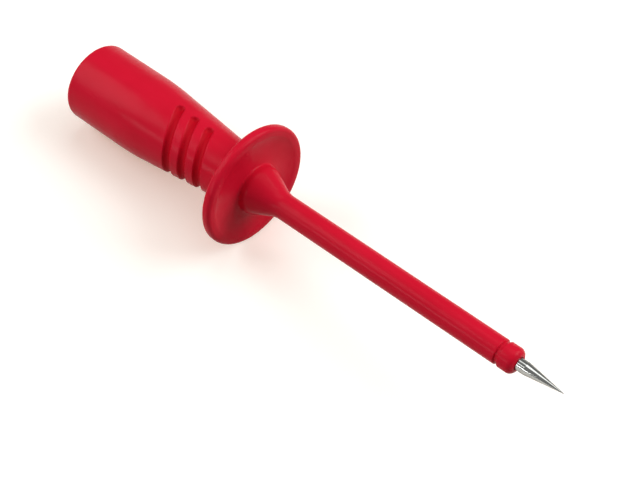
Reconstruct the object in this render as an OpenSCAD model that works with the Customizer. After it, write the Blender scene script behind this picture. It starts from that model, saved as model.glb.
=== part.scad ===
// Slim test probe with a sprung steel needle at the tip, a round finger guard and a touch-proof
// 4 mm socket in the rear of its grip. The probe's axis lies along X and its needle points to +X.
// The origin is the centre of the contact sleeve's mouth, where the lead's plug goes in.

/* [Grip] */
// Diameter of the straight rear part
grip_d = 17.9; // [16.5:0.1:20]
// Length from the rear rim to the back of the finger guard
grip_l = 47.1; // [44:0.1:54]
// Length of the straight part, before the taper
grip_straight_l = 18.4; // [12:0.1:21]
// Diameter at the front, where the grip meets the finger guard
neck_d = 12.1; // [11:0.1:13.5]
// Radius of the rounded rear edge
grip_edge_r = 1.1; // [0.3:0.05:1.3]

/* [Finger guard] */
// Diameter of the disc
guard_d = 28; // [24:0.1:34]
// Thickness at the rim
guard_t = 2.35; // [2:0.05:3]
// Radius of both rounded rim edges
guard_edge_r = 0.9; // [0.4:0.05:0.95]
// Radius of the fillet between the grip and the disc
guard_back_r = 1; // [0.5:0.1:2]
// Width of the raised rim round the dished front
guard_rim_w = 1.9; // [1.5:0.1:2.5]
// Depth of the dished front
dish_depth = 0.4; // [0.2:0.05:0.6]

/* [Flare] */
// Diameter of the flare's foot on the disc
flare_d = 11; // [10:0.1:12.5]
// Height of the foot before it turns in
flare_foot_h = 0.5; // [0.2:0.1:1]
// Radius of the shoulder over the foot
flare_shoulder_r = 2.2; // [1.5:0.1:2.5]
// Length of the flare, from the disc's front to where its cone meets the shaft
flare_l = 7.25; // [6.5:0.05:10]
// Radius of the fillet between the flare's cone and the shaft
flare_blend_r = 6; // [2:0.5:10]

/* [Shaft] */
// Outer diameter of the insulated shaft
shaft_d = 5.6; // [5.3:0.05:6.2]
// Length of the shaft, from the disc's front
shaft_l = 65.45; // [56:0.05:80]
// Radius of the rounded front edge
shaft_edge_r = 0.25; // [0.1:0.05:0.3]

/* [Finger grooves] */
// Number of grooves
groove_n = 3; // [1:1:4]
// Spacing of the grooves along the axis
groove_pitch = 4.3; // [3.2:0.1:4.6]
// Distance from the disc's back to the first groove
groove_front = 11.4; // [10:0.1:12.5]
// Radius of the round groove bottom
groove_r = 1.1; // [0.9:0.05:1.4]
// Depth of the grooves
groove_depth = 0.8; // [0.3:0.05:0.9]
// How much wider each groove is at its round ends
groove_end_swell = 0.08; // [0.03:0.01:0.2]
// Lean of the grooves from square to the axis, in degrees
groove_lean = 22; // [0:1:26]
// How far round the grip each groove runs, in degrees
groove_span = 180; // [150:1:220]
// Direction that the grooved side faces, in degrees above -Y
groove_facing = 11; // [-30:1:30]

/* [Nose bush] */
// Diameter of the collar in front of the shaft
collar_d = 5.7; // [5.3:0.05:6.2]
// Length of the collar
collar_l = 3.45; // [3:0.05:6]
// Radius of the rounded collar front
collar_nose_r = 1.3; // [0.5:0.05:1.35]
// Radius of the rounded collar back edge
collar_back_r = 0.2; // [0.1:0.05:0.3]
// Width of the ring groove between the shaft and the collar
nose_groove_w = 0.8; // [0.5:0.1:2]
// Diameter at the bottom of the ring groove
nose_groove_d = 4.8; // [4.6:0.05:5.2]
// Diameter of the spigot inside the shaft
spigot_d = 4.3; // [4.1:0.05:4.4]
// Length of the spigot inside the shaft
spigot_l = 6; // [4:0.1:9]

/* [Needle] */
// Diameter of the needle
needle_d = 2.65; // [2:0.05:2.75]
// Length of the sharpened cone
cone_l = 8.85; // [6:0.05:10]
// Diameter of the flat at the very tip
tip_d = 0.12; // [0.05:0.01:0.3]
// Length of the head that the spring pushes on
head_l = 3; // [2:0.1:5]
// Diameter of the pilot that centres the spring
pilot_d = 1.5; // [1:0.1:1.8]
// Length of the pilot
pilot_l = 2; // [1:0.1:3]
// How far the needle can be pressed in
needle_stroke = 1.5; // [0.5:0.1:1.6]
// Length of plain needle that still stands out of the nose when it is pressed in
needle_margin = 0.4; // [0.05:0.05:1]

/* [Spring] */
// Wire diameter
wire_d = 0.35; // [0.3:0.01:0.4]
// Number of turns
spring_turns = 9; // [6:1:11]
// Length at rest
spring_l = 12; // [10:0.1:16]

/* [Barrel] */
// Outer diameter
barrel_d = 3.9; // [3.7:0.05:4]
// Inner diameter
barrel_bore_d = 3.2; // [3:0.05:3.3]
// Length of the barrel's grip on the rod
barrel_lap = 4; // [3:0.1:6]

/* [Socket] */
// Bore of the contact sleeve
socket_d = 4; // [3.9:0.05:4.2]
// Depth of the bore
socket_l = 19; // [16:0.1:20]
// Outer diameter of the contact sleeve
sleeve_d = 6; // [5.4:0.1:6.6]
// Lead-in chamfer at the mouth
sleeve_chamfer = 0.35; // [0.1:0.05:0.6]
// How far the sleeve's mouth lies behind the rear rim
mouth_recess = 2.5; // [1.5:0.1:4]
// Diameter of the flange that holds the sleeve in the grip
flange_d = 9; // [7.6:0.1:10]
// Thickness of the flange
flange_t = 2; // [1:0.1:3]
// Diameter of the stem that takes the rod
stem_d = 4.8; // [4.2:0.1:5.6]
// Length of the stem
stem_l = 6; // [4:0.1:8]
// Depth of the rod's hole in the stem
cup_l = 5; // [3:0.1:7]

/* [Socket insert] */
// Outer diameter
insert_d = 14; // [13.6:0.1:14.4]
// Length
insert_l = 24; // [23:0.1:26]
// Wall between the outside and the well round the contact sleeve
insert_wall = 0.9; // [0.7:0.05:1.3]
// Depth of the well
well_l = 20; // [18:0.1:21]
// How far the insert lies behind the rear rim
insert_recess = 0.4; // [0.2:0.1:1]
// Height of the bead that snaps into the grip
bead_h = 0.25; // [0.15:0.05:0.35]
// Width of the bead at its foot
bead_w = 1; // [0.8:0.1:1.5]
// Distance of the bead from the insert's rear end
bead_at = 8; // [5:0.1:15]

/* [Contact rod] */
// Diameter
rod_d = 3; // [2.6:0.05:3.05]
// Chamfer at both ends
rod_chamfer = 0.3; // [0.1:0.05:0.5]

/* [Fits] */
// Clearance all round between pieces that are pushed together and stay
seat_gap = 0.03; // [0.01:0.01:0.04]
// Clearance all round the sliding needle
run_gap = 0.05; // [0.02:0.01:0.06]

/* [Hidden] */
$fn = 96;
// Overrun of a cutting tool past the face that it cuts
overrun = 1;

// Stations along the axis, from the rear to the tip
rear_x = -mouth_recess;
insert_x = rear_x + insert_recess;
well_x = insert_x + well_l;
flange_x = insert_x + insert_l;
stem_x = flange_x + flange_t;
stem_end_x = stem_x + stem_l;
taper_x = rear_x + grip_straight_l;
guard_back_x = rear_x + grip_l;
guard_front_x = guard_back_x + guard_t;
flare_end_x = guard_front_x + flare_l;
shaft_end_x = guard_front_x + shaft_l;
collar_x = shaft_end_x + nose_groove_w;
nose_x = collar_x + collar_l;
cone_x = nose_x + needle_stroke + needle_margin;
tip_x = cone_x + cone_l;
spigot_x = shaft_end_x - spigot_l;
head_front_x = spigot_x - run_gap;
head_back_x = head_front_x - head_l;
rod_end_x = head_back_x - spring_l;
barrel_x = rod_end_x - barrel_lap;

// The taper of the grip
taper_slope = (grip_d - neck_d) / 2 / (guard_back_x - taper_x);
taper_angle = atan(taper_slope);
function grip_r(x) = x < taper_x ? grip_d / 2 : grip_d / 2 - taper_slope * (x - taper_x);

// The fillet between the grip and the disc: its centre and where it touches the taper
back_fillet_x = guard_back_x - guard_back_r;
back_fillet_y = grip_r(back_fillet_x) + guard_back_r / cos(taper_angle);
back_touch_x = back_fillet_x - guard_back_r * sin(taper_angle);

// The dish is the hollow of one large circle between the flare's foot and the raised rim
dish_outer_r = guard_d / 2 - guard_rim_w;
dish_half_w = (dish_outer_r - flare_d / 2) / 2;
dish_circle_r = (pow(dish_half_w, 2) + pow(dish_depth, 2)) / (2 * dish_depth);
dish_centre_r = flare_d / 2 + dish_half_w;

// The flare's shoulder is an arc over the foot. A cone runs from it to the shaft, into a wide fillet.
shoulder_x = guard_front_x + flare_foot_h;
shoulder_y = flare_d / 2 - flare_shoulder_r;
flare_run = flare_end_x - shoulder_x;
flare_rise = shoulder_y - shaft_d / 2;
flare_angle = 90 - acos(flare_shoulder_r / norm([flare_run, flare_rise])) + atan2(flare_rise, flare_run);
flare_corner_x = shoulder_x + flare_shoulder_r * tan(flare_angle / 2);
cone_top_x = shoulder_x + flare_shoulder_r * sin(flare_angle);
cone_top_y = shoulder_y + flare_shoulder_r * cos(flare_angle);
blend_l = flare_blend_r * tan(flare_angle / 2);

// The well round the contact sleeve
well_d = insert_d - 2 * insert_wall;

// Pieces that slide or seat in the barrel
head_d = barrel_bore_d - 2 * run_gap;
spring_d = barrel_bore_d - 4 * run_gap;
coil_r = (spring_d - wire_d) / 2;
bush_bore_d = needle_d + 2 * run_gap;

// The body of revolution about X of an outline drawn as [distance along X, radius]
module turned() {
    rotate([0, 90, 0]) rotate_extrude() mirror([1, -1]) children();
}

// A plain cylinder along X from one station to the next
module bar(from, to, d) {
    translate([from, 0, 0]) rotate([0, 90, 0]) cylinder(h = to - from, d = d);
}

// A bore along X that also clears its seat gap
module bore(from, to, d) {
    bar(from, to, d + 2 * seat_gap);
}

// Outline of a strip under a radius, with its two outer corners rounded
module strip(from, to, y, back_r, front_r) {
    difference() {
        translate([from, 0]) square([to - from, y]);
        translate([from, y]) corner(back_r, 1);
        translate([to, y]) corner(front_r, -1);
    }
}

// What a rounded corner takes away; side is 1 at a strip's back and -1 at its front
module corner(r, side) {
    difference() {
        translate([side > 0 ? -overrun : -r, -r]) square([r + overrun, r + overrun]);
        translate([side * r, -r]) circle(r = r);
    }
}

module grip_outline() {
    difference() {
        polygon([
            [rear_x, 0],
            [rear_x, grip_r(rear_x)],
            [taper_x, grip_r(taper_x)],
            [guard_back_x, grip_r(guard_back_x)],
            [guard_back_x, 0]
        ]);
        translate([rear_x, grip_r(rear_x)]) corner(grip_edge_r, 1);
    }
}

// The fillet that leads from the taper into the disc
module back_fillet_outline() {
    difference() {
        polygon([
            [back_touch_x, 0],
            [back_touch_x, grip_r(back_touch_x)],
            [back_fillet_x, back_fillet_y],
            [guard_back_x, back_fillet_y],
            [guard_back_x, 0]
        ]);
        translate([back_fillet_x, back_fillet_y]) circle(r = guard_back_r);
    }
}

module guard_outline() {
    difference() {
        strip(guard_back_x, guard_front_x, guard_d / 2, guard_edge_r, guard_edge_r);
        translate([guard_front_x + dish_circle_r - dish_depth, dish_centre_r])
            circle(r = dish_circle_r, $fn = 2 * $fn);
    }
}

module flare_outline() {
    difference() {
        polygon([
            [guard_back_x, 0],
            [guard_back_x, flare_d / 2],
            [flare_corner_x, flare_d / 2],
            [cone_top_x, cone_top_y],
            [flare_end_x, shaft_d / 2],
            [flare_end_x, 0]
        ]);
        translate([shoulder_x, shoulder_y]) shoulder_waste();
    }
}

// What the shoulder's arc takes away, from straight out to the cone's direction
module shoulder_waste() {
    wedge_r = flare_shoulder_r + overrun;
    difference() {
        polygon([
            [0, 0],
            [0, wedge_r],
            [wedge_r * sin(flare_angle), wedge_r * cos(flare_angle)]
        ]);
        circle(r = flare_shoulder_r);
    }
}

// The fillet that leads from the flare's cone into the shaft
module flare_blend_outline() {
    difference() {
        polygon([
            [flare_end_x - blend_l * cos(flare_angle), 0],
            [flare_end_x - blend_l * cos(flare_angle), shaft_d / 2 + blend_l * sin(flare_angle)],
            [flare_end_x + blend_l, shaft_d / 2 + blend_l * sin(flare_angle)],
            [flare_end_x + blend_l, 0]
        ]);
        translate([flare_end_x + blend_l, shaft_d / 2 + flare_blend_r]) circle(r = flare_blend_r);
    }
}

module shaft_outline() {
    strip(guard_back_x, shaft_end_x, shaft_d / 2, 0, shaft_edge_r);
}

// One finger groove: a round cutter led along a leaning arc, with a ball at each end
module groove(x) {
    ring_r = grip_r(x) + groove_r - groove_depth;
    face_r = grip_r(x + ring_r * sin(groove_lean)) + groove_r - groove_depth;
    // The arc is set off towards its own side so that the depth there equals that at the ends
    set_off = face_r - ring_r * cos(groove_lean);
    translate([x, 0, 0])
        rotate([-groove_facing, 0, 0])
        translate([0, -set_off, 0])
        rotate([0, 90, groove_lean])
        rotate(-90 - groove_span / 2) {
            rotate_extrude(angle = groove_span) translate([ring_r, 0]) circle(r = groove_r, $fn = 32);
            for (turn = [0, groove_span])
                rotate(turn) translate([ring_r, 0, 0]) sphere(r = groove_r + groove_end_swell, $fn = 32);
        }
}

// Grip, finger guard, flare and shaft are one moulding
module grip_body() {
    color([0.80, 0.05, 0.12]) difference() {
        union() {
            turned() grip_outline();
            turned() back_fillet_outline();
            turned() guard_outline();
            turned() flare_outline();
            turned() flare_blend_outline();
            turned() shaft_outline();
        }
        for (i = [0 : groove_n - 1]) groove(guard_back_x - groove_front - i * groove_pitch);
        bore(rear_x - overrun, flange_x, insert_d);
        bore(flange_x - overrun, stem_x, flange_d);
        bore(stem_x - overrun, stem_end_x, stem_d);
        bore(stem_x, barrel_x + overrun, rod_d);
        bore(barrel_x, shaft_end_x + overrun, barrel_d);
        bore(spigot_x, shaft_end_x + overrun, spigot_d);
        bead(seat_gap);
    }
}

// The bead round the insert, with flanks at 45 degrees, and with a gap added its groove in the grip
module bead(gap) {
    half_w = bead_w / 2 + gap;
    turned() translate([insert_x + bead_at, 0]) polygon([
        [-half_w, insert_d / 2 - bead_h],
        [-half_w, insert_d / 2 + gap],
        [bead_h - half_w, insert_d / 2 + bead_h + gap],
        [half_w - bead_h, insert_d / 2 + bead_h + gap],
        [half_w, insert_d / 2 + gap],
        [half_w, insert_d / 2 - bead_h]
    ]);
}

// Carrier of the contact sleeve, with the well that takes a shrouded plug
module socket_insert() {
    color([0.72, 0.04, 0.10]) difference() {
        union() {
            bar(insert_x, flange_x, insert_d);
            bead(0);
        }
        bar(insert_x - overrun, well_x, well_d);
        bore(well_x - overrun, flange_x + overrun, sleeve_d);
    }
}

module socket_sleeve() {
    color([0.80, 0.79, 0.76]) difference() {
        union() {
            bar(0, flange_x + flange_t / 2, sleeve_d);
            bar(flange_x, stem_x, flange_d);
            bar(stem_x - flange_t / 2, stem_end_x, stem_d);
        }
        bar(-overrun, socket_l, socket_d);
        turned() polygon([
            [-overrun, 0],
            [-overrun, socket_d / 2 + sleeve_chamfer + overrun],
            [sleeve_chamfer, socket_d / 2],
            [sleeve_chamfer, 0]
        ]);
        bore(stem_end_x - cup_l, stem_end_x + overrun, rod_d);
    }
}

module contact_rod() {
    color([0.78, 0.62, 0.30]) turned() polygon([
        [stem_end_x - cup_l, 0],
        [stem_end_x - cup_l, rod_d / 2 - rod_chamfer],
        [stem_end_x - cup_l + rod_chamfer, rod_d / 2],
        [rod_end_x - rod_chamfer, rod_d / 2],
        [rod_end_x, rod_d / 2 - rod_chamfer],
        [rod_end_x, 0]
    ]);
}

module needle_barrel() {
    color([0.80, 0.66, 0.34]) difference() {
        bar(barrel_x, spigot_x, barrel_d);
        bar(barrel_x - overrun, spigot_x + overrun, barrel_bore_d);
    }
}

// A helix swept by short links between discs of wire, closed flat on both ends
module needle_spring() {
    links = 16;
    sides = 8;
    count = spring_turns * links;
    start_x = rod_end_x + 2 * run_gap + wire_d / 2;
    rise = (spring_l - 4 * run_gap - wire_d) / count;
    color([0.70, 0.71, 0.73]) polyhedron(
        points = [
            for (i = [0 : count])
                for (side = [0 : sides - 1])
                    wire_point(i * 360 / links, start_x + rise * i, side * 360 / sides)
        ],
        faces = concat(
            [[for (side = [0 : sides - 1]) side]],
            [[for (side = [sides - 1 : -1 : 0]) count * sides + side]],
            [
                for (i = [0 : count - 1])
                    for (side = [0 : sides - 1])
                        let (next = (side + 1) % sides, ring = i * sides)
                        [ring + side, ring + sides + side, ring + sides + next, ring + next]
            ]
        )
    );
}

// A point on the skin of the spring wire, at a turn of the helix and an angle round the wire
function wire_point(turn, x, around) =
    let (r = coil_r + wire_d / 2 * cos(around))
    [x + wire_d / 2 * sin(around), r * cos(turn), r * sin(turn)];

module needle() {
    color([0.84, 0.85, 0.86]) turned() polygon([
        [head_back_x - pilot_l, 0],
        [head_back_x - pilot_l, pilot_d / 2],
        [head_back_x, pilot_d / 2],
        [head_back_x, head_d / 2],
        [head_front_x, head_d / 2],
        [head_front_x, needle_d / 2],
        [cone_x, needle_d / 2],
        [tip_x, tip_d / 2],
        [tip_x, 0]
    ]);
}

module nose_bush() {
    color([0.78, 0.05, 0.11]) difference() {
        turned() {
            translate([spigot_x, 0]) square([collar_x - spigot_x, spigot_d / 2]);
            translate([shaft_end_x, 0]) square([nose_groove_w, nose_groove_d / 2]);
            strip(collar_x, nose_x, collar_d / 2, collar_back_r, collar_nose_r);
        }
        bar(spigot_x - overrun, nose_x + overrun, bush_bore_d);
    }
}

grip_body();
socket_insert();
socket_sleeve();
contact_rod();
needle_barrel();
needle_spring();
needle();
nose_bush();
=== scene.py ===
import math

import bmesh
import bpy
from mathutils import Matrix, Vector


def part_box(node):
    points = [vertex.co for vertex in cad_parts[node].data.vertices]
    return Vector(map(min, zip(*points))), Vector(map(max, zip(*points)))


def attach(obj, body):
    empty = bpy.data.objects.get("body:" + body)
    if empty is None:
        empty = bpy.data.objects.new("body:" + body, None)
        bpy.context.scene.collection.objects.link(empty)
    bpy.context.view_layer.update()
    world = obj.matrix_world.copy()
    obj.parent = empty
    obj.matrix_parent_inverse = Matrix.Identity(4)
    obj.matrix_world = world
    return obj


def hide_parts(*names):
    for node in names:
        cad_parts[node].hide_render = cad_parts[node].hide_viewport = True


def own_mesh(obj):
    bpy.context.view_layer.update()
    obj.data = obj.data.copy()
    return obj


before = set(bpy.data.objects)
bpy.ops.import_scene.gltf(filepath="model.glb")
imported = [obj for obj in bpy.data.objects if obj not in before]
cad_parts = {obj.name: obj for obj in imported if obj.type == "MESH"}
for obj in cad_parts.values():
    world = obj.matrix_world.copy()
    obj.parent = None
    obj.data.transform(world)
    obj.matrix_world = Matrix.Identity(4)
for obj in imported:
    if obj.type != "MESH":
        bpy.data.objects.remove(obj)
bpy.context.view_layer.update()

# Grip moulding
# Grip, finger guard, flare and the long insulated shaft are one injection moulding in red plastic.
# The contact rod and the spring barrel lie in its bore, and the socket is snapped in from the rear.
mm = 0.001
rear_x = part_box("grip_body")[0].x / mm
grip_r = 8.95
grip_edge_rounding = 1.1
taper_x = rear_x + 18.4
taper_rounding = 60
neck_r = 6.05

guard_back_x = rear_x + 47.1
guard_front_x = guard_back_x + 2.35
guard_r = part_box("grip_body")[1].z / mm
guard_edge_rounding = 0.9
guard_back_fillet = 1
dish_outer_r = guard_r - 1.9
dish_rim_rounding = 2.5
dish_depth = 0.81
dish_rounding = 12

flare_r = 5.5
flare_foot_fillet = 0.5
flare_shoulder_x = guard_front_x + 1.6
flare_shoulder_rounding = 2.2
flare_end_x = guard_front_x + 7.25
flare_fillet = 6
shaft_r = 2.8
shaft_end_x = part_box("grip_body")[1].x / mm
shaft_edge_rounding = 0.25

seat_gap = 0.03
insert_r = 7
bead_x = rear_x + 8.4
bead_seat_half_mouth = 0.55
bead_seat_half_floor = 0.28
bead_seat_depth = 0.27
flange_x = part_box("socket_insert")[1].x / mm
flange_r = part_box("socket_sleeve")[1].z / mm
stem_x = flange_x + 2
stem_r = 2.4
stem_end_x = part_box("socket_sleeve")[1].x / mm
rod_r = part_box("contact_rod")[1].z / mm
barrel_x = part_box("needle_barrel")[0].x / mm
barrel_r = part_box("needle_barrel")[1].z / mm
spigot_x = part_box("needle_barrel")[1].x / mm
spigot_r = 2.15

groove_r = 1.1
groove_depth = 0.8
groove_pitch = 4.3
groove_to_guard = 11.4
groove_lean = math.radians(22)
groove_half_span = math.radians(90)
groove_facing = math.radians(11)
groove_lip = 0.15
grooves_x = [guard_back_x - groove_to_guard - groove_pitch * i for i in range(3)]
grooved_from_x = grooves_x[-1] - 2.2
grooved_to_x = grooves_x[0] + 4.6
grooved_rings = 130
grip_steps = 320
weld_gap = 0.0001
sharp_angle = math.radians(40)


def taper_radius(x):
    """Radius of the grip's taper at a station along the axis."""
    return grip_r + (neck_r - grip_r) * (x - taper_x) / (guard_back_x - taper_x)


def half_section(corners):
    """Half a section as one face in a mesh; a corner is its x, its radius and its rounding."""
    bm = bmesh.new()
    bm.faces.new([bm.verts.new((x, 0, r)) for x, r, rounding in corners])
    for i, (x, r, rounding) in enumerate(corners):
        if not rounding:
            continue
        here = Vector((x, 0, r))
        neighbours = (corners[i - 1], corners[(i + 1) % len(corners)])
        before, after = (Vector((c[0], 0, c[1])) - here for c in neighbours)
        tangent = rounding / math.tan(before.angle(after) / 2)
        bmesh.ops.bevel(
            bm, geom=[min(bm.verts, key=lambda v: (v.co - here).length)], offset=tangent,
            offset_type="OFFSET", segments=8, profile=0.5, affect="VERTICES", material=-1)
    return bm


def turned(bm, steps):
    """Spins a half section round the axis into a closed solid, with its faces outwards."""
    bmesh.ops.delete(bm, geom=bm.faces[:], context="FACES_ONLY")
    on_axis = [e for e in bm.edges if all(v.co.z < weld_gap for v in e.verts)]
    bmesh.ops.delete(bm, geom=on_axis, context="EDGES")
    bmesh.ops.spin(
        bm, geom=bm.verts[:] + bm.edges[:], cent=(0, 0, 0), axis=(1, 0, 0),
        angle=2 * math.pi, steps=steps, use_merge=True, use_duplicate=False)
    bmesh.ops.remove_doubles(bm, verts=bm.verts, dist=weld_gap)
    bmesh.ops.recalc_face_normals(bm, faces=bm.faces)


def piece(bm, name, body, slot, *nodes):
    """Makes a mesh built in millimetres a finished piece that stands for its CAD nodes."""
    bmesh.ops.scale(bm, vec=(mm, mm, mm), verts=bm.verts)
    for face in bm.faces:
        face.smooth = True
    mesh = bpy.data.meshes.new(name)
    bm.to_mesh(mesh)
    bm.free()
    mesh.set_sharp_from_angle(angle=sharp_angle)
    made = bpy.data.objects.new(name, mesh)
    bpy.context.scene.collection.objects.link(made)
    made.modifiers.new("even_shading", "WEIGHTED_NORMAL").keep_sharp = True
    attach(made, body)
    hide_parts(*nodes)
    return made


def groove_frame(x):
    """A groove's ring: a matrix to its centre and its tilted plane as X and Y, and its radius."""
    ring_r = taper_radius(x) + groove_r - groove_depth
    facing_r = taper_radius(x + ring_r * math.sin(groove_lean)) + groove_r - groove_depth
    turn = Matrix.Rotation(groove_lean, 4, "Z") @ Matrix.Rotation(math.pi / 2, 4, "Y")
    set_off = Matrix.Translation((0, ring_r * math.cos(groove_lean) - facing_r, 0))
    station = Matrix.Translation((x, 0, 0)) @ Matrix.Rotation(-groove_facing, 4, "X")
    return station @ set_off @ turn, ring_r


def cut_depth(point, ring, ring_r):
    """How far a point of the grip's skin is pressed in by one groove, with soft lips."""
    local = ring.inverted() @ point
    around = math.atan2(local.x, -local.y)
    around = max(-groove_half_span, min(groove_half_span, around))
    centre = ring @ Vector((ring_r * math.sin(around), -ring_r * math.cos(around), 0))
    inward = Vector((0, -point.y, -point.z)).normalized()
    off = point - centre
    above = off.dot(inward)
    beside = off.length_squared - above ** 2
    if beside > groove_r ** 2:
        return 0
    cut = math.sqrt(groove_r ** 2 - beside) - above
    if cut <= -groove_lip:
        return 0
    return cut if cut >= groove_lip else (cut + groove_lip) ** 2 / (4 * groove_lip)


bm = half_section([
    (rear_x, insert_r + seat_gap, 0.15),
    (rear_x, grip_r, grip_edge_rounding),
    (taper_x, grip_r, taper_rounding),
    (grooved_from_x, taper_radius(grooved_from_x), 0),
    (grooved_to_x, taper_radius(grooved_to_x), 0),
    (guard_back_x, neck_r, guard_back_fillet),
    (guard_back_x, guard_r, guard_edge_rounding),
    (guard_front_x, guard_r, guard_edge_rounding),
    (guard_front_x, dish_outer_r, dish_rim_rounding),
    (guard_front_x - dish_depth, (dish_outer_r + flare_r) / 2, dish_rounding),
    (guard_front_x, flare_r, flare_foot_fillet),
    (flare_shoulder_x, flare_r, flare_shoulder_rounding),
    (flare_end_x, shaft_r, flare_fillet),
    (shaft_end_x, shaft_r, shaft_edge_rounding),
    (shaft_end_x, spigot_r + seat_gap, 0.1),
    (spigot_x, spigot_r + seat_gap, 0),
    (spigot_x, barrel_r + seat_gap, 0),
    (barrel_x, barrel_r + seat_gap, 0),
    (barrel_x, rod_r + seat_gap, 0),
    (stem_end_x, rod_r + seat_gap, 0),
    (stem_end_x, stem_r + seat_gap, 0),
    (stem_x, stem_r + seat_gap, 0),
    (stem_x, flange_r + seat_gap, 0),
    (flange_x, flange_r + seat_gap, 0),
    (flange_x, insert_r + seat_gap, 0),
    (bead_x + bead_seat_half_mouth, insert_r + seat_gap, 0),
    (bead_x + bead_seat_half_floor, insert_r + seat_gap + bead_seat_depth, 0),
    (bead_x - bead_seat_half_floor, insert_r + seat_gap + bead_seat_depth, 0),
    (bead_x - bead_seat_half_mouth, insert_r + seat_gap, 0),
])
grooved_ends = {round(grooved_from_x, 3), round(grooved_to_x, 3)}
grooved = [e for e in bm.edges if {round(v.co.x, 3) for v in e.verts} == grooved_ends]
bmesh.ops.subdivide_edges(bm, edges=grooved, cuts=grooved_rings)
turned(bm, grip_steps)
rings = [groove_frame(x) for x in grooves_x]
groove_shade_mask = bm.verts.layers.float.new("groove_shade_mask")
for v in bm.verts:
    if grooved_from_x < v.co.x < grooved_to_x and v.co.yz.length > neck_r:
        inward = Vector((0, -v.co.y, -v.co.z)).normalized()
        cut = max(cut_depth(v.co, *ring) for ring in rings)
        v.co += inward * cut
        # How deep a groove cuts here; the material paints shade into the grooves by it.
        v[groove_shade_mask] = min(cut / groove_depth * 2, 1)


class Value:
    """A socket inside a material. Sums on it add Math nodes, and node() adds any other node."""

    def __init__(self, tree, socket=None):
        self.tree = tree
        self.socket = socket

    def node(self, kind, inputs=(), output=0, **settings):
        made = self.tree.nodes.new("ShaderNode" + kind)
        for name, setting in settings.items():
            setattr(made, name, setting)
        for name, value in dict(inputs).items():
            if isinstance(value, Value):
                self.tree.links.new(value.socket, made.inputs[name])
            else:
                made.inputs[name].default_value = value
        return Value(self.tree, made.outputs[output] if len(made.outputs) else made)

    def out(self, name):
        return Value(self.tree, self.socket.node.outputs[name])

    def maths(self, operation, *values):
        return self.node("Math", dict(enumerate(values)), operation=operation)

    def __add__(self, other):
        return self.maths("ADD", self, other)

    def __mul__(self, other):
        return self.maths("MULTIPLY", self, other)

    def __sub__(self, other):
        return self.maths("SUBTRACT", self, other)

    def __rsub__(self, other):
        return self.maths("SUBTRACT", other, self)

    __radd__ = __add__
    __rmul__ = __mul__


def material(name):
    """A new material and the tree that its nodes go into."""
    made = bpy.data.materials.new(name)
    made.use_nodes = True
    made.node_tree.nodes.clear()
    return made, Value(made.node_tree)


def blended(tree, factor, first, second):
    """The first colour where the factor is 0, and the second where it is 1."""
    return tree.node(
        "Mix", {0: factor, 6: first, 7: second}, output=2, data_type="RGBA", clamp_factor=True)


def surface(tree, normal, **inputs):
    """Ends a material in its shader; an input's name is the socket's, with _ for a space."""
    sockets = {name.replace("_", " "): value for name, value in inputs.items()}
    shader = tree.node("BsdfPrincipled", {**sockets, "Normal": normal})
    tree.node("OutputMaterial", {"Surface": shader})


def red_moulding(name, red, deep_red):
    """Red plastic, faintly mottled, with slow waves and a fine grain; rougher, shade-painted
    grooves.
    """
    made, tree = material(name)
    place = tree.node("TexCoord", output=3)
    flow = tree.node("Mapping", {"Vector": place, "Scale": (60, 260, 260)})
    streaks = tree.node("TexNoise", {"Vector": flow, "Scale": 1, "Detail": 3, "Roughness": 0.55})
    clouds = tree.node("TexNoise", {"Vector": place, "Scale": 110, "Detail": 2})
    waves = tree.node("TexNoise", {"Vector": place, "Scale": 140, "Detail": 3})
    grain = tree.node("TexNoise", {"Vector": place, "Scale": 2600, "Detail": 3})
    groove = tree.node("Attribute", attribute_name="groove_shade_mask", output=2)
    tone = (streaks * 0.6 + clouds * 0.4) * 1.6 - 0.3
    colour = blended(tree, tone, deep_red, red)
    # Painted shade: a darker red in the grooves, standing in for the shade that falls in them.
    colour = blended(tree, groove, colour, (0.49, 0.001, 0.011, 1))
    skin = tree.node("Bump", {"Strength": 1, "Distance": 0.00016, "Height": waves})
    skin = tree.node(
        "Bump", {"Strength": 0.35, "Distance": 0.00001, "Height": grain, "Normal": skin})
    surface(
        tree, skin, Base_Color=colour, Roughness=streaks * 0.14 + groove * 0.3 + 0.18,
        Specular_IOR_Level=0.06)
    return made


grip = piece(bm, "grip_moulding", "handle", "red_moulding", "grip_body")
red = red_moulding("red_moulding", (0.63, 0.009, 0.032, 1), (0.53, 0.005, 0.020, 1))
grip.data.materials.append(red)

# Nose bush
# A short red bush is pressed into the front of the shaft by its spigot. Its collar stands in front
# of a ring groove, is a little wider than the shaft and rounds off well before the needle.
waist_r = 2.4
collar_x = shaft_end_x + 0.8
collar_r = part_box("nose_bush")[1].z / mm
nose_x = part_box("nose_bush")[1].x / mm
nose_rounding = 1.3
bush_bore_r = 1.375

bm = half_section([
    (spigot_x, bush_bore_r, 0),
    (spigot_x, spigot_r, 0.1),
    (shaft_end_x, spigot_r, 0),
    (shaft_end_x, waist_r, 0),
    (collar_x, waist_r, 0.12),
    (collar_x, collar_r, 0.25),
    (nose_x, collar_r, nose_rounding),
    (nose_x, bush_bore_r, 0.1),
])
turned(bm, 96)
bush = piece(bm, "nose_collar", "handle", "red_moulding", "nose_bush")
bush.data.materials.append(red)

# Needle
# A hardened steel needle, ground to a long sharp cone. Its head slides in the barrel behind the
# bush, and the spring behind the head pushes it out.
pilot_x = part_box("needle")[0].x / mm
pilot_r = 0.75
head_x = pilot_x + 2
head_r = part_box("needle")[1].z / mm
head_front_x = head_x + 3
needle_r = 1.325
tip_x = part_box("needle")[1].x / mm
tip_r = 0.06
cone_x = tip_x - 8.85

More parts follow.
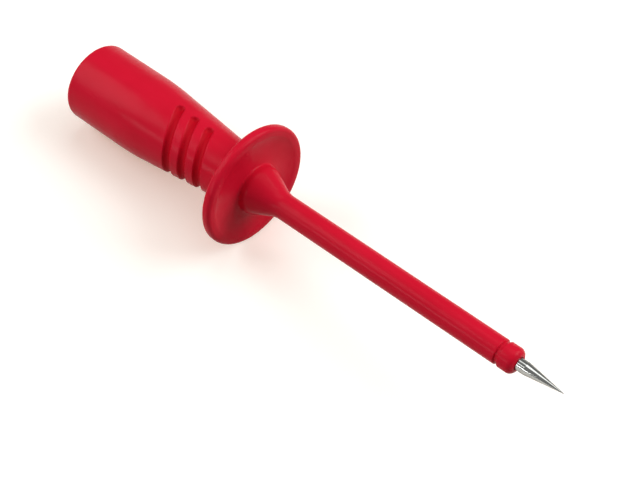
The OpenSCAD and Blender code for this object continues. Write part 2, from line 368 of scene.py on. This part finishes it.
bm = half_section([
    (pilot_x, 0, 0),
    (pilot_x, pilot_r, 0.2),
    (head_x, pilot_r, 0),
    (head_x, head_r, 0.15),
    (head_front_x, head_r, 0.15),
    (head_front_x, needle_r, 0),
    (cone_x, needle_r, 0.4),
    (tip_x, tip_r, 0.03),
    (tip_x, 0, 0),
])
turned(bm, 96)
needle = piece(bm, "ground_needle", "sprung_needle", "needle_steel", "needle")


def ground_steel():
    """Bright steel with fine marks of the grinding wheel round it."""
    made, tree = material("ground_steel")
    place = tree.node("TexCoord", output=3)
    rings = tree.node("Mapping", {"Vector": place, "Scale": (9000, 400, 400)})
    marks = tree.node("TexNoise", {"Vector": rings, "Scale": 1, "Detail": 2})
    patches = tree.node("TexNoise", {"Vector": place, "Scale": 900, "Detail": 2})
    colour = blended(tree, patches, (0.36, 0.37, 0.35, 1), (0.60, 0.61, 0.59, 1))
    skin = tree.node("Bump", {"Strength": 0.4, "Distance": 0.000004, "Height": marks})
    surface(
        tree, skin, Base_Color=colour, Metallic=1.0, Roughness=marks * 0.08 + 0.05,
        Specular_Tint=(0.2, 0.2, 0.2, 1))
    return made


needle.data.materials.append(ground_steel())

# Spring
# A steel compression spring behind the needle's head, with its end turns closed flat. It is pressed
# by the needle and stands on the rod's front end.
rod_end_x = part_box("contact_rod")[1].x / mm
wire_r = 0.175
coil_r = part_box("needle_spring")[1].z / mm - wire_r
end_gap = 0.1
spring_from_x = rod_end_x + end_gap + wire_r
spring_to_x = head_x - end_gap - wire_r
closed_rise = 2 * wire_r + 0.01
open_turns = 7
open_rise = (spring_to_x - spring_from_x - 2 * closed_rise) / open_turns
steps_a_turn = 36

bm = bmesh.new()
bmesh.ops.create_circle(
    bm, segments=12, radius=wire_r, matrix=Matrix.Translation((spring_from_x, coil_r, 0)))
end = bm.verts[:] + bm.edges[:]
for turns, rise in ((1, closed_rise), (open_turns, open_rise), (1, closed_rise)):
    swept = bmesh.ops.spin(
        bm, geom=end, cent=(0, 0, 0), axis=(1, 0, 0), dvec=(rise / steps_a_turn, 0, 0),
        angle=2 * math.pi * turns, steps=turns * steps_a_turn, use_merge=False,
        use_duplicate=False)
    end = [e for e in swept["geom_last"] if not isinstance(e, bmesh.types.BMFace)]
bmesh.ops.holes_fill(bm, edges=bm.edges)
bmesh.ops.recalc_face_normals(bm, faces=bm.faces)
spring = piece(bm, "closed_spring", "handle", "spring_steel", "needle_spring")


def drawn_wire():
    """Dull spring wire with fine marks of the drawing die."""
    made, tree = material("spring_wire")
    place = tree.node("TexCoord", output=3)
    patches = tree.node("TexNoise", {"Vector": place, "Scale": 1400, "Detail": 3})
    colour = blended(tree, patches, (0.34, 0.34, 0.35, 1), (0.62, 0.62, 0.63, 1))
    skin = tree.node("Bump", {"Strength": 0.3, "Distance": 0.000006, "Height": patches})
    surface(tree, skin, Base_Color=colour, Metallic=1.0, Roughness=patches * 0.2 + 0.2)
    return made


spring.data.materials.append(drawn_wire())
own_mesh(spring)

# Barrel and contact rod
# Both are turned from brass. The barrel holds the spring and the needle's head and takes the
# current to the rod, on which it is pressed. The rod runs through the shaft to the socket.
barrel_bore_r = 1.6
rod_from_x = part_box("contact_rod")[0].x / mm
rod_chamfer = 0.3


def turned_metal(name, dark, light, roughness):
    """Turned metal: fine rings of the lathe tool round the axis, and a few duller clouds."""
    made, tree = material(name)
    place = tree.node("TexCoord", output=3)
    rings = tree.node("Mapping", {"Vector": place, "Scale": (5200, 60, 60)})
    marks = tree.node("TexNoise", {"Vector": rings, "Scale": 1, "Detail": 2})
    clouds = tree.node("TexNoise", {"Vector": place, "Scale": 420, "Detail": 3})
    colour = blended(tree, clouds, dark, light)
    skin = tree.node("Bump", {"Strength": 0.35, "Distance": 0.000005, "Height": marks})
    surface(tree, skin, Base_Color=colour, Metallic=1.0, Roughness=clouds * 0.16 + roughness)
    return made


brass = turned_metal("turned_brass", (0.50, 0.33, 0.12, 1), (0.76, 0.56, 0.26, 1), 0.16)

bm = half_section([
    (barrel_x, barrel_bore_r, 0.1),
    (barrel_x, barrel_r, 0.15),
    (spigot_x, barrel_r, 0.1),
    (spigot_x, barrel_bore_r, 0.1),
])
turned(bm, 64)
barrel = piece(bm, "spring_barrel", "handle", "brass", "needle_barrel")
barrel.data.materials.append(brass)

bm = half_section([
    (rod_from_x, 0, 0),
    (rod_from_x, rod_r - rod_chamfer, 0),
    (rod_from_x + rod_chamfer, rod_r, 0.1),
    (rod_end_x - rod_chamfer, rod_r, 0.1),
    (rod_end_x, rod_r - rod_chamfer, 0),
    (rod_end_x, 0, 0),
])
turned(bm, 64)
rod = piece(bm, "turned_rod", "handle", "brass", "contact_rod")
rod.data.materials.append(brass)

# Socket sleeve
# A turned and nickel-plated brass sleeve for a 4 mm plug. Its flange is clamped between the insert
# and the step in the grip, and the rod is soldered into the cup at its front.
sleeve_r = 3
bore_r = 2
bore_end_x = 19
mouth_chamfer = 0.35
cup_x = stem_end_x - 5

bm = half_section([
    (0, bore_r + mouth_chamfer, 0.05),
    (0, sleeve_r, 0.15),
    (flange_x, sleeve_r, 0.1),
    (flange_x, flange_r, 0.15),
    (stem_x, flange_r, 0.15),
    (stem_x, stem_r, 0.1),
    (stem_end_x, stem_r, 0.2),
    (stem_end_x, rod_r + seat_gap, 0.1),
    (cup_x, rod_r + seat_gap, 0),
    (cup_x, 0, 0),
    (bore_end_x, 0, 0),
    (bore_end_x, bore_r, 0.2),
    (mouth_chamfer, bore_r, 0.1),
])
turned(bm, 96)
sleeve = piece(bm, "plated_sleeve", "handle", "nickel", "socket_sleeve")
nickel = turned_metal("nickel_plate", (0.52, 0.49, 0.43, 1), (0.74, 0.71, 0.65, 1), 0.10)
sleeve.data.materials.append(nickel)

# Socket insert
# A red moulded carrier is snapped into the rear of the grip by the bead round it. It holds the
# sleeve in its middle and leaves a deep well for the shroud of the plug.
insert_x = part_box("socket_insert")[0].x / mm
well_r = insert_r - 0.9
well_x = insert_x + 20
bead_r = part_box("socket_insert")[1].z / mm
bead_half_foot = 0.5
bead_half_top = 0.25

bm = half_section([
    (insert_x, well_r, 0.2),
    (insert_x, insert_r, 0.25),
    (bead_x - bead_half_foot, insert_r, 0),
    (bead_x - bead_half_top, bead_r, 0.08),
    (bead_x + bead_half_top, bead_r, 0.08),
    (bead_x + bead_half_foot, insert_r, 0),
    (flange_x, insert_r, 0.1),
    (flange_x, sleeve_r + seat_gap, 0),
    (well_x, sleeve_r + seat_gap, 0.1),
    (well_x, well_r, 0.4),
])
turned(bm, 128)
insert = piece(bm, "snap_insert", "handle", "red_insert", "socket_insert")
darker_red = red_moulding("red_insert", (0.50, 0.003, 0.016, 1), (0.43, 0.002, 0.012, 1))
insert.data.materials.append(darker_red)

# Camera
# The probe lies on its rear rim and on the rim of its finger guard, so its axis rises to the front
# and the needle stands clear of the table. The camera looks down on it from the needle's side.
rim_drop = (guard_r - guard_edge_rounding) - (grip_r - grip_edge_rounding)
rim_run = (guard_back_x + guard_edge_rounding) - (rear_x + grip_edge_rounding)
rounding_step = (guard_edge_rounding - grip_edge_rounding) / math.hypot(rim_drop, rim_run)
rest_tilt = math.atan2(rim_drop, rim_run) + rounding_step
table_turn = Matrix.Rotation(rest_tilt, 4, "Y")
table_up = table_turn.to_3x3() @ Vector((0, 0, 1))
camera_side = math.radians(42.58)
camera_rise = math.radians(55.45)
camera_aim = Vector((66.3, -1.44, -0.77)) * mm
camera_away = 365.6 * mm


def direction(side, rise):
    """A direction from the probe, by its side round the table and its rise above the table."""
    level = math.cos(rise)
    flat = Vector((math.sin(side) * level, -math.cos(side) * level, math.sin(rise)))
    return table_turn.to_3x3() @ flat


def facing(back, up):
    """A turn that looks along the reverse of back, with up as near upright as it can be."""
    across = up.cross(back).normalized()
    return Matrix((across, back.cross(across).normalized(), back)).transposed().to_4x4()


camera = bpy.data.objects.new("camera", bpy.data.cameras.new("camera"))
bpy.context.scene.collection.objects.link(camera)
bpy.context.scene.camera = camera
camera.data.lens = 101.25
camera.data.sensor_width = 36
camera.data.clip_start = 0.01
back = direction(camera_side, camera_rise)
camera.matrix_world = Matrix.Translation(camera_aim + back * camera_away) @ facing(back, table_up)

# Table
# A plain white paper top, just under the two rims. As the camera sees it, a glow lifts it to white:
# weakly near the probe, so that the shadow stays, and fully further off. Near the probe the glow is
# warm: painted warmth that tints the shadow like light thrown back from the red probe. The light
# that it throws back on the probe is that of a dull grey.
rear_rim = Vector((rear_x + grip_edge_rounding, 0, grip_edge_rounding - grip_r))
table_gap = 0.01
table_reach = 3
table_height = table_up.dot(rear_rim) - grip_edge_rounding - table_gap

bm = bmesh.new()
bmesh.ops.create_grid(bm, x_segments=1, y_segments=1, size=table_reach)
bmesh.ops.transform(bm, matrix=table_turn, verts=bm.verts)
bmesh.ops.translate(bm, vec=table_up * table_height * mm, verts=bm.verts)
mesh = bpy.data.meshes.new("table")
bm.to_mesh(mesh)
bm.free()
table = bpy.data.objects.new("table", mesh)
bpy.context.scene.collection.objects.link(table)

white_table, tree = material("white_table")
path = tree.node("LightPath")
away = tree.node("VectorMath", {0: tree.node("TexCoord", output=3)}, output=1, operation="LENGTH")
far = tree.node("MapRange", {0: away, 1: 0.2, 2: 0.6})
mirrored = tree.maths("MAXIMUM", path.out("Is Glossy Ray") * 0.65, path.out("Is Transmission Ray"))
seen = tree.maths("MAXIMUM", path.out("Is Camera Ray"), mirrored)
paper = tree.node(
    "BsdfDiffuse", {"Color": blended(tree, seen, (0.42, 0.39, 0.37, 1), (0.84, 0.92, 0.92, 1))})
# Painted light: the warm colour near the probe tints its shadow as if red light were thrown into
# it.
white_lift_and_painted_warmth = blended(tree, far, (0.34, 0.21, 0.145, 1), (1, 1, 1, 1))
glow = tree.node("Emission", {"Color": white_lift_and_painted_warmth, "Strength": seen})
tree.node("OutputMaterial", {"Surface": tree.node("AddShader", {0: paper, 1: glow})})
table.data.materials.append(white_table)

# Light
# A key lamp on the right and a weaker one on the left light the probe. A small lamp overhead gives
# the needle its wide streak, and a low strip on the front left gives needle and shaft a thin one.
# The white surround adds only a little light.
world = bpy.data.worlds.new("surround")
bpy.context.scene.world = world
world.use_nodes = True
world.node_tree.nodes.clear()
tree = Value(world.node_tree)
path = tree.node("LightPath")
clear = tree.maths("MAXIMUM", path.out("Is Camera Ray"), path.out("Is Transmission Ray"))
brightness = clear * 0.83 + path.out("Is Glossy Ray") * 0.1 + 0.17
surround = tree.node("Background", {"Color": (1, 1, 1, 1), "Strength": brightness})
tree.node("OutputWorld", {"Surface": surround})
lamp_away = 0.9


def lamp(name, side, rise, wide, high, power):
    """An oblong lamp at a side and a rise, in degrees, turned to the probe."""
    made = bpy.data.objects.new(name, bpy.data.lights.new(name, "AREA"))
    bpy.context.scene.collection.objects.link(made)
    made.data.shape = "RECTANGLE"
    made.data.size = wide
    made.data.size_y = high
    made.data.energy = power
    back = direction(math.radians(side), math.radians(rise))
    made.matrix_world = Matrix.Translation(camera_aim + back * lamp_away) @ facing(back, table_up)


lamp("key_lamp", 140, 37, 0.7, 0.7, 7.5)
lamp("top_lamp", -157, 70, 0.5, 0.5, 1.6)
lamp("fill_lamp", -64, 37, 0.6, 0.6, 4.2)
lamp("strip_lamp", -20, 18, 0.5, 0.1, 1.3)

bpy.context.scene.view_settings.view_transform = "Standard"
